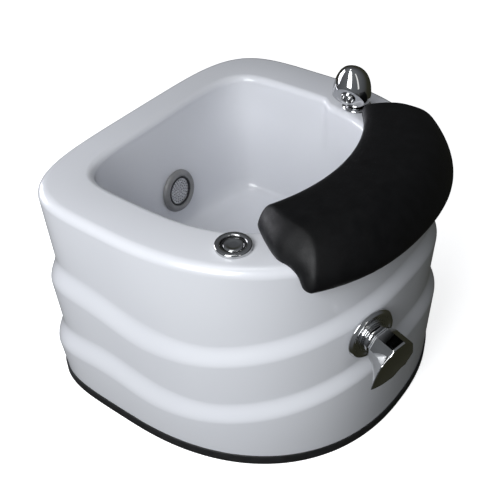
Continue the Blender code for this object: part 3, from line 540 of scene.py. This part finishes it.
def shell_skin(places):
    rings = [rim_ring(-inward, DECK - down) for inward, down in roll(OUTER_ROLL)]
    rings += [opening_ring(inward, DECK - down) for inward, down in reversed(roll(INNER_ROLL))]
    rings.append(opening_ring(0.0, DECK - LIP_DEPTH))
    rings.append(opening_ring(SHELL_WALL, DECK - LIP_DEPTH))
    rings.append(opening_ring(SHELL_WALL, DECK - INNER_ROLL))
    rings.append(opening_ring(SHELL_WALL * 1.4, DECK - SHELL_WALL))
    rings.append(rim_ring(-OUTER_ROLL, DECK - SHELL_WALL))
    rings.append(rim_ring(-SHELL_WALL, DECK - OUTER_ROLL))
    outline = [(angle, skirt_line(angle)) for angle in ANGLES]
    count = len(outline[0][1])
    for row in range(0, count - 1, 3):
        rings.append(
            [(*plan_point(RIM, line[row][0] - SHELL_WALL, angle), line[row][1]) for angle, line in outline]
        )
    rings.append(rim_ring(FOOT_GROW - SHELL_WALL, SKIRT_BOTTOM))
    rings.append(rim_ring(FOOT_GROW, SKIRT_BOTTOM))
    for row in reversed(range(count)):
        rings.append([(*plan_point(RIM, line[row][0], angle), line[row][1]) for angle, line in outline])
    shell = make_piece("shell_skin", loft(rings, join_ends=True), "gelcoat_white", "tub", ["outer_shell"])
    cut_away(
        shell,
        [
            (rod(0.0185, -0.02, 0.02), places["button"]),
            (rod(0.0090, -0.02, 0.02), places["spout"]),
            (rod(0.0160, -0.02, 0.02), places["mixer"]),
            (rod(0.0078, -0.02, 0.02), places["gland"]),
        ],
    )


def bowl_skin(jet):
    inside = [tuple(point) for point in smooth_line(BOWL_INSIDE, 5)]
    rings = [opening_ring(grow, height) for grow, height in inside]
    hole = 0.026
    floor_edge = rings[-1]
    drain_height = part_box("drain_flange")[1].z - 0.0032

    def disc(radius, height):
        return [(radius * math.cos(a), WIDEST_Y + radius * math.sin(a), height) for a in ANGLES]

    middle = disc(0.080, FLOOR - 0.0015)
    for k in (0.25, 0.5, 0.75):
        rings.append([tuple(Vector(a).lerp(Vector(b), k)) for a, b in zip(floor_edge, middle)])
    rings.append(middle)
    rings.append(disc(0.050, FLOOR - 0.0024))
    rings.append(disc(hole, drain_height))
    rings.append(disc(hole, drain_height - BOWL_WALL))
    rings.append(disc(0.080, FLOOR - 0.0015 - BOWL_WALL))
    for grow, height in reversed(BOWL_INSIDE[1:]):
        lower = BOWL_WALL * (1.0 if height < 0.175 else 0.5 if height < 0.19 else 0.0)
        rings.append(opening_ring(grow + BOWL_WALL - lower * 0.4, height - lower))
    under_deck = DECK - SHELL_WALL - 0.0003
    rings.append(opening_ring(BOWL_WALL + 0.001, DECK - LIP_DEPTH - 0.012))
    rings.append(opening_ring(SHELL_WALL + BOWL_WALL, DECK - LIP_DEPTH - 0.004))
    rings.append(opening_ring(SHELL_WALL + BOWL_WALL, under_deck - BOWL_WALL))
    rings.append(opening_ring(0.0125, under_deck - BOWL_WALL))
    rings.append(opening_ring(0.0125, under_deck))
    rings.append(opening_ring(SHELL_WALL * 1.4 + 0.0003, under_deck))
    rings.append(opening_ring(SHELL_WALL + 0.0003, DECK - INNER_ROLL - 0.0003))
    rings.append(opening_ring(SHELL_WALL + 0.0003, DECK - LIP_DEPTH))
    bowl = make_piece("bowl_skin", loft(rings, join_ends=True), "gelcoat_white", "tub", ["basin_bowl"])
    cut_away(bowl, [(rod(0.0275, -0.015, 0.015), jet)])


def edging():
    outside = FOOT_GROW + 0.0003 + TRIM_WALL
    inside = FOOT_GROW - SHELL_WALL - 0.0003 - TRIM_WALL
    rows = (
        (outside, 0.0),
        (outside, TRIM_HEIGHT),
        (FOOT_GROW + 0.0003, TRIM_HEIGHT),
        (FOOT_GROW + 0.0003, SKIRT_BOTTOM - 0.0003),
        (inside + TRIM_WALL, SKIRT_BOTTOM - 0.0003),
        (inside + TRIM_WALL, TRIM_INNER_HEIGHT),
        (inside, TRIM_INNER_HEIGHT),
        (inside, 0.0),
    )
    rings = [rim_ring(*row) for row in rounded(rows, 0.0009)]
    make_piece("edging_strip", loft(rings, join_ends=True), "rubber_black", "tub", ["base_trim"])


# ---------------------------------------------------------------- footrest pad


def pad_point(angle, fraction, extra, height, shift):
    offset = angle + math.pi / 2 - PAD_TURN
    inner = PAD_INNER_RADIUS + PAD_INNER_SPREAD * offset**2
    distance = inner + (reach(RIM, 0.0, angle) - inner) * fraction + extra
    return Vector((distance * math.cos(angle) + shift, WIDEST_Y + distance * math.sin(angle), DECK + height))


# Section of the pad as (fraction from the inner edge to the rim, extra, rise, end angle in degrees)
PAD_OVER = (
    (0.0, -0.003, 0.014, 46.3),
    (0.0, -0.003, 0.031, 44.8),
    (0.0, 0.000, 0.040, 43.2),
    (0.0, 0.010, 0.0445, 42.0),
    (0.34, 0.000, 0.0460, 41.2),
    (0.58, 0.000, 0.0462, 39.8),
    (1.0, -0.027, 0.0445, 37.8),
    (1.0, -0.006, 0.037, 37.2),
    (1.0, 0.010, 0.019, 37.8),
    (1.0, 0.0215, -0.003, 38.6),
    (1.0, 0.0245, -0.020, 38.6),
)
PAD_UNDER = (
    (0.0, 0.000, 0.0003, 47.5),
    (0.15, 0.000, 0.0004, 47.3),
    (0.30, 0.000, 0.0004, 47.0),
    (0.45, 0.000, 0.0004, 46.6),
    (0.60, 0.000, 0.0004, 46.2),
    (0.80, 0.000, 0.0004, 45.3),
    (1.0, -0.0140, 0.0008, 44.0),
    (1.0, -0.0020, -0.0020, 42.6),
    (1.0, 0.0022, -0.014, 41.4),
    (1.0, 0.007, -0.0245, 40.6),
    (1.0, 0.018, -0.0260, 39.6),
)
PAD_SEATED_ROWS = 9
PAD_END_BULGE = 0.20
PAD_RIDGE_CREASE = 0.20
PAD_FOOT_CREASE = 0.70


def pad_skin():
    def station(rows, side, seated=0):
        points = []
        for i, (fraction, extra, rise, end) in enumerate(rows):
            angle = -math.pi / 2 + PAD_TURN + side * math.radians(end)
            points.append(pad_point(angle, fraction, extra, rise, 0.0 if i < seated else PAD_SHIFT))
        return points

    sides = [-1 + 2 * i / (PAD_STATIONS - 1) for i in range(PAD_STATIONS)]
    sides = sides[:1] + [-0.965] + sides[1:-1] + [0.965] + sides[-1:]
    bm = bmesh.new()
    crease = bm.edges.layers.float.new("crease_edge")
    over = [[bm.verts.new(p) for p in station(PAD_OVER, side)] for side in sides]
    under = [[bm.verts.new(p) for p in station(PAD_UNDER, side, PAD_SEATED_ROWS)] for side in sides]
    loops = [up + list(reversed(down)) for up, down in zip(over, under)]
    for near, far in zip(loops, loops[1:]):
        for i in range(len(near)):
            j = (i + 1) % len(near)
            bm.faces.new((near[i], near[j], far[j], far[i]))
    for end, beyond in ((0, 1), (-1, -2)):
        middles = []
        for top, bottom, top_in in zip(over[end], under[end], over[beyond]):
            outward = (top.co - top_in.co).normalized()
            bulge = PAD_END_BULGE * (top.co - bottom.co).length
            middles.append(bm.verts.new((top.co + bottom.co) / 2 + outward * bulge))
        for i in range(len(middles) - 1):
            bm.faces.new((over[end][i], over[end][i + 1], middles[i + 1], middles[i]))
            bm.faces.new((middles[i], middles[i + 1], under[end][i + 1], under[end][i]))
        bm.faces.new((over[end][0], middles[0], under[end][0]))
        bm.faces.new((over[end][-1], under[end][-1], middles[-1]))
        for row, weight in ((over[end], PAD_RIDGE_CREASE), (under[end], PAD_FOOT_CREASE)):
            for a, b in zip(row, row[1:]):
                bm.edges.get((a, b))[crease] = weight
    for near, far in zip(under, under[1:]):
        bm.edges.get((near[0], far[0]))[crease] = PAD_FOOT_CREASE
    pad = make_piece("pad_skin", bm, "foam_black", "tub", ["footrest_pad"], sharp_angle=180)
    pad.modifiers.new("soft", "SUBSURF").levels = 2
    pad.modifiers["soft"].render_levels = 2
    keep_modifiers(pad)


# ---------------------------------------------------------------- air button


def button(place):
    bezel = (
        (0.0182, 0.0003),
        (0.0264, 0.0003),
        (0.0267, 0.0048),
        (0.0254, 0.0067),
        (0.0204, 0.0071),
        (0.0182, 0.0060),
    )
    make_piece("button_ring", turned(rounded(bezel, 0.0012)), "chrome", "tub", ["button_bezel"], place)
    cap = (
        (0.0, 0.0042),
        (0.0070, 0.0044),
        (0.0112, 0.0054),
        (0.0130, 0.0054),
        (0.0152, 0.0036),
        (0.0152, -0.0150),
        (0.0133, -0.0150),
        (0.0133, -0.0030),
        (0.0, -0.0030),
    )
    make_piece("button_dome", turned(rounded(cap, 0.0009)), "chrome", "button", ["button_cap"], place)


# ---------------------------------------------------------------- filling spout


def spout_ring(height, sides):
    """Outline of the head: it widens up to the shoulder, then closes over a top that leans forward."""
    if height < SPOUT_SHOULDER:
        rise = (height - SPOUT_FOOT) / (SPOUT_SHOULDER - SPOUT_FOOT)
        grown = math.sin(math.pi / 2 * rise) ** SPOUT_SWELL
        front = SPOUT_NECK + (SPOUT_FRONT - SPOUT_NECK) * grown
        back = -SPOUT_NECK - (SPOUT_BACK - SPOUT_NECK) * grown
        half = SPOUT_NECK + (SPOUT_HALF_WIDTH - SPOUT_NECK) * grown
    else:
        rise = (height - SPOUT_SHOULDER) / (SPOUT_TOP - SPOUT_SHOULDER)
        closing = math.sqrt(1 - rise**2)
        lean = SPOUT_LEAN * rise
        front = lean + (SPOUT_FRONT - lean) * closing
        back = lean - (SPOUT_BACK + lean) * closing
        half = SPOUT_HALF_WIDTH * closing
    middle, reach = (front + back) / 2, (front - back) / 2
    turns = [math.tau * i / sides for i in range(sides)]
    return [(middle + reach * math.cos(turn), half * math.sin(turn), height) for turn in turns]


def spout(fixed):
    place = fixed @ Matrix.Rotation(SPOUT_HEADING, 4, "Z")
    ring = ((0.0085, 0.0003), (0.0255, 0.0003), (0.0255, 0.0022), (0.0228, 0.0056), (0.0085, 0.0056))
    make_piece("spout_rosette", turned(rounded(ring, 0.0010)), "chrome", "tub", ["spout_base_ring"], fixed)
    low_rings, high_rings, sides = 24, 40, 128
    turn_per_ring = math.radians(2.06)
    heights = [SPOUT_FOOT + (SPOUT_SHOULDER - SPOUT_FOOT) * i / low_rings for i in range(low_rings)]
    for i in range(high_rings):
        heights.append(SPOUT_SHOULDER + (SPOUT_TOP - SPOUT_SHOULDER) * math.sin(turn_per_ring * i))
    rings = [spout_ring(height, sides) for height in heights]
    body = make_piece(
        "spout_hood", loft(rings, join_ends=False), "chrome", "spout", ["spout_body"], place, sharp_angle=45
    )
    outward = (math.cos(OUTLET_DIP), 0.0, -math.sin(OUTLET_DIP))
    outlet = axes_at((OUTLET_REACH, 0.0, OUTLET_HEIGHT), outward)
    corners = ((-0.06, -0.06), (0.06, -0.06), (0.06, 0.06), (-0.06, 0.06))
    face = loft([[(x, y, height) for x, y in corners] for height in (0.0, 0.06)], join_ends=False)
    cut_away(body, [(face, outlet)])
    upward = Vector((1.0, 0.0, 1.0)).normalized()
    link = axes_at((0.0, 0.0, 0.010), upward)
    cut_away(body, [(rod(0.0084, -0.002, 0.020), Matrix.Identity(4)), (rod(0.0133, -0.0165, 0.020), outlet)])
    cut_away(body, [(rod(0.0060, 0.0, 0.042), link)])
    soften(body, 0.0006)
    nozzle = (
        (0.0, -0.0160),
        (0.0130, -0.0160),
        (0.0130, 0.0022),
        (0.0122, 0.0034),
        (0.0108, 0.0026),
        (0.0104, -0.0040),
        (0.0, -0.0040),
    )
    outline = turned(rounded(nozzle, 0.0006))
    make_piece("spout_nozzle", outline, "chrome", "spout", ["spout_aerator"], place @ outlet)


# ---------------------------------------------------------------- mixer tap


PIVOT = 0.012
LEVER_TIP = 0.062
HANDLE_RADIUS = 0.0285
HANDLE_START = 0.0195
HANDLE_END = 0.0625
LEAF_HALF_ANGLE = math.radians(75)
LEAF_GROWTH = 2.2
LEAF_SHARPNESS = 1.5
FACETS = 8
FACET_DEPTH = 0.88
HANDLE_STEP = 0.0265
HANDLE_CAVITY = 0.0250
SLEEVE_DOME = 0.0235


def handle_ring(height, start_radius):
    """Outline of the lever handle: a softly facetted barrel that grows a pointed leaf towards its end."""
    sides = 144
    along = min(1.0, max(0.0, (height - HANDLE_START) / (HANDLE_END - HANDLE_START)))
    leaf = (LEVER_TIP - HANDLE_RADIUS) * along**LEAF_GROWTH
    facet = math.tau / FACETS
    ring = []
    for i in range(sides):
        from_tip = math.tau * i / sides - math.pi
        away = min(1.0, abs(from_tip) / LEAF_HALF_ANGLE)
        flat = math.cos(facet / 2) / math.cos((from_tip % facet) - facet / 2)
        distance = start_radius * (1 - FACET_DEPTH + FACET_DEPTH * flat) + leaf * (1 - away) ** LEAF_SHARPNESS
        angle = LEVER_DIRECTION + from_tip
        ring.append((distance * math.cos(angle), distance * math.sin(angle), height))
    return ring


def mixer(place):
    flange = (
        (0.0154, 0.0012),
        (0.0424, 0.0012),
        (0.0430, 0.0034),
        (0.0398, 0.0082),
        (0.0350, 0.0087),
        (0.0330, 0.0062),
        (0.0272, 0.0058),
        (0.0264, 0.0090),
        (0.0154, 0.0090),
    )
    make_piece("mixer_rosette", turned(rounded(flange, 0.0008)), "chrome", "tub", ["mixer_flange"], place)
    neck = [(0.0151, 0.0093), (SLEEVE_DOME, 0.0093), (SLEEVE_DOME, PIVOT)]
    for degrees in range(8, 57, 8):
        turn = math.radians(degrees)
        neck.append((SLEEVE_DOME * math.cos(turn), PIVOT + SLEEVE_DOME * math.sin(turn)))
    neck += [(0.0105, 0.0290), (0.0151, 0.0190)]
    make_piece("mixer_neck", turned(neck), "chrome", "tub", ["mixer_sleeve"], place)

    sections = [
        (HANDLE_START, 0.0254),
        (HANDLE_START + 0.0008, 0.0262),
        (HANDLE_STEP - 0.0008, 0.0266),
        (HANDLE_STEP, 0.0280),
        (HANDLE_STEP + 0.0010, HANDLE_RADIUS),
    ]
    steps = 14
    for i in range(1, steps + 1):
        height = HANDLE_STEP + 0.0010 + (HANDLE_END - HANDLE_STEP - 0.0020) * i / steps
        sections.append((height, HANDLE_RADIUS))
    rings = [handle_ring(height, radius) for height, radius in sections]
    last = rings[-1]
    middle = Vector((math.cos(LEVER_DIRECTION), math.sin(LEVER_DIRECTION))) * 0.010
    for scale, sunk in ((0.985, 0.0), (0.93, 0.0004), (0.6, 0.0022), (0.25, 0.003)):
        ring = []
        for x, y, _ in last:
            ring.append((*(middle + (Vector((x, y)) - middle) * scale), HANDLE_END - sunk))
        rings.append(ring)
    barrel = loft(rings, join_ends=False)
    handle = make_piece("mixer_lever", barrel, "chrome", "lever", ["mixer_handle"], place, sharp_angle=28)
    profile = [(0.0, PIVOT), (0.032, PIVOT), (0.032, HANDLE_START - 0.001)]
    for degrees in range(16, 84, 8):
        turn = math.radians(degrees)
        profile.append((HANDLE_CAVITY * math.cos(turn), PIVOT + HANDLE_CAVITY * math.sin(turn)))
    profile += [(0.0038, PIVOT + HANDLE_CAVITY), (0.0038, 0.0424), (0.0, 0.0424)]
    cut_away(handle, [(turned(profile, 48), Matrix.Identity(4))])


# ---------------------------------------------------------------- drain, jet and gland


def drain(place):
    flange = (
        (0.0200, 0.0004),
        (0.0200, 0.0022),
        (0.0230, 0.0032),
        (0.0340, 0.0022),
        (0.0350, 0.0011),
        (0.0350, 0.0004),
        (0.0240, 0.0004),
        (0.0240, -0.0300),
        (0.0200, -0.0300),
    )
    make_piece("drain_ring", turned(rounded(flange, 0.0006)), "chrome", "tub", ["drain_flange"], place)
    plug = (
        (0.0, 0.0040),
        (0.0120, 0.0034),
        (0.0188, 0.0012),
        (0.0188, -0.0030),
        (0.0040, -0.0050),
        (0.0040, -0.0280),
        (0.0, -0.0280),
    )
    make_piece("plug_dome", turned(rounded(plug, 0.0012)), "chrome", "plug", ["drain_plug"], place)


def jet(place):
    ring = (
        (0.0268, 0.0006),
        (0.0390, 0.0006),
        (0.0390, 0.0030),
        (0.0365, 0.0075),
        (0.0330, 0.0090),
        (0.0290, 0.0085),
        (0.0268, 0.0065),
    )
    make_piece("jet_cover", turned(rounded(ring, 0.0014)), "plastic_grey", "tub", ["jet_ring"], place)
    disc = rod(0.0234, 0.0030, 0.0050, 64)
    screen = make_piece("jet_grille", disc, "steel", "tub", ["jet_screen"], place)
    holes = [(rod(0.0016, 0.0, 0.009, 12), Matrix.Identity(4))]
    for count, radius in ((6, 0.0055), (12, 0.0105), (17, 0.0152), (22, 0.0198)):
        for i in range(count):
            turn = math.tau * (i + 0.5 * (count % 2)) / count
            spot = Matrix.Translation((radius * math.cos(turn), radius * math.sin(turn), 0.0))
            holes.append((rod(0.0017, 0.0, 0.009, 12), spot))
    cut_away(screen, holes)


# ---------------------------------------------------------------- stage


CAMERA_AT = (-0.8454, -0.6090, 1.0736)
CAMERA_AZIMUTH = math.radians(-51.9)
CAMERA_ELEVATION = math.radians(39.72)
CAMERA_ROLL = math.radians(-2.25)
CAMERA_LENS = 57.6
BATH_MIDDLE = (0.0, 0.0, 0.25)
DAYLIGHT_FROM = (-0.60, -0.10, 0.79)
DAYLIGHT_STRENGTH = 0.25
FLOOR_GLOW = 0.75


def make_camera():
    azimuth, elevation, roll_angle = CAMERA_AZIMUTH, CAMERA_ELEVATION, CAMERA_ROLL
    back = Vector(
        (
            math.sin(azimuth) * math.cos(elevation),
            -math.cos(azimuth) * math.cos(elevation),
            math.sin(elevation),
        )
    )
    right = Vector((math.cos(azimuth), math.sin(azimuth), 0.0))
    up = back.cross(right)
    turned_right = right * math.cos(roll_angle) + up * math.sin(roll_angle)
    turned_up = up * math.cos(roll_angle) - right * math.sin(roll_angle)
    data = bpy.data.cameras.new("camera")
    data.lens = CAMERA_LENS
    data.sensor_width = 36.0
    camera = bpy.data.objects.new("camera", data)
    bpy.context.scene.collection.objects.link(camera)
    place = Matrix((turned_right, turned_up, back)).transposed().to_4x4()
    place.translation = Vector(CAMERA_AT)
    camera.matrix_world = place
    bpy.context.scene.camera = camera


def area_light(name, place, target, size, power, colour=(1, 1, 1)):
    data = bpy.data.lights.new(name, "AREA")
    data.shape = "RECTANGLE"
    data.size, data.size_y = size
    data.energy = power
    data.color = colour
    light = bpy.data.objects.new(name, data)
    bpy.context.scene.collection.objects.link(light)
    light.matrix_world = axes_at(place, Vector(place) - Vector(target))
    return light


def make_surroundings():
    """Soft daylight that comes from the upper left and fades to a dim, slightly olive lower right."""
    world = bpy.data.worlds.new("studio")
    world.use_nodes = True
    nodes, links = world.node_tree.nodes, world.node_tree.links
    direction = nodes.new("ShaderNodeTexCoord").outputs["Generated"]
    side = nodes.new("ShaderNodeVectorMath")
    side.operation = "DOT_PRODUCT"
    side.inputs[1].default_value = DAYLIGHT_FROM
    links.new(direction, side.inputs[0])
    along = nodes.new("ShaderNodeMapRange")
    along.inputs["From Min"].default_value = -1.0
    along.inputs["From Max"].default_value = 1.0
    links.new(side.outputs["Value"], along.inputs["Value"])
    ramp = nodes.new("ShaderNodeValToRGB")
    links.new(along.outputs["Result"], ramp.inputs["Fac"])
    stops = (
        (0.0, (0.10, 0.10, 0.065)),
        (0.3, (0.17, 0.17, 0.12)),
        (0.55, (0.42, 0.44, 0.48)),
        (1.0, (0.9, 0.95, 1.0)),
    )
    elements = ramp.color_ramp.elements
    while len(elements) < len(stops):
        elements.new(0.5)
    for element, (position, colour) in zip(elements, stops):
        element.position = position
        element.color = (*colour, 1.0)
    background = nodes["Background"]
    links.new(ramp.outputs["Color"], background.inputs["Color"])
    background.inputs["Strength"].default_value = DAYLIGHT_STRENGTH
    bpy.context.scene.world = world


def make_stage():
    mesh = bpy.data.meshes.new("studio_floor")
    bm = bmesh.new()
    bmesh.ops.create_grid(bm, x_segments=2, y_segments=2, size=8.0)
    bm.to_mesh(mesh)
    bm.free()
    floor = bpy.data.objects.new("studio_floor", mesh)
    floor.location.z = -0.0002
    bpy.context.scene.collection.objects.link(floor)
    paint = Paint("floor_paper", (0.93, 0.93, 0.93), 0.9)
    paint.set("Emission Color", (1.0, 1.0, 1.0, 1.0))
    paint.set("Emission Strength", FLOOR_GLOW)
    mesh.materials.append(paint.material)
    floor.visible_diffuse = False
    floor.visible_glossy = False

    area_light("window_left", (-1.62, -0.2, 1.22), BATH_MIDDLE, (0.9, 1.2), 27, (0.96, 0.98, 1.0))
    area_light("softbox_top", (-0.6, 0.1, 2.4), BATH_MIDDLE, (0.5, 1.4), 6)
    area_light("window_back", (-0.4, 2.6, 0.8), (0.0, 0.0, 0.35), (1.4, 1.0), 28, (0.93, 0.93, 1.0))
    area_light("strip_front", (-0.9, -2.1, 1.3), BATH_MIDDLE, (0.4, 1.4), 2, (1.0, 0.99, 0.97))
    make_surroundings()
    bpy.context.scene.view_settings.view_transform = "Standard"


# ---------------------------------------------------------------- build


def centre_of(node, height):
    low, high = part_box(node)
    middle = (low + high) / 2
    return Matrix.Translation((middle.x, middle.y, height))


def joint_place(name, back=0.0):
    joint = joints[name]
    outward = Vector(joint["axis"])
    return axes_at(Vector(joint["pos_m"]) - outward * back, outward)


def gland_place():
    low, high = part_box("gland_bush")
    middle = (low + high) / 2
    return axes_at(middle, (0.0, 1.0, 0.0))


make_camera()
make_stage()

places = {
    "button": centre_of("button_bezel", DECK),
    "spout": Matrix.Translation(Vector(joints["spout_swivel"]["pos_m"])),
    "mixer": joint_place("mixer_temperature", PIVOT),
    "jet": joint_place("impeller_spin"),
    "gland": gland_place(),
    "drain": centre_of("drain_plug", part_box("drain_plug")[1].z - 0.0040),
}
shell_skin(places)
bowl_skin(places["jet"])
edging()
pad_skin()
button(places["button"])
spout(places["spout"])
mixer(places["mixer"])
drain(places["drain"])
jet(places["jet"])

slots = {part["node"]: part["material_slot"] for part in frame["record"]["subparts"]}
for name, node in frame["nodes"].items():
    node.data.materials.clear()
    node.data.materials.append(FINISHES[slots[name]])
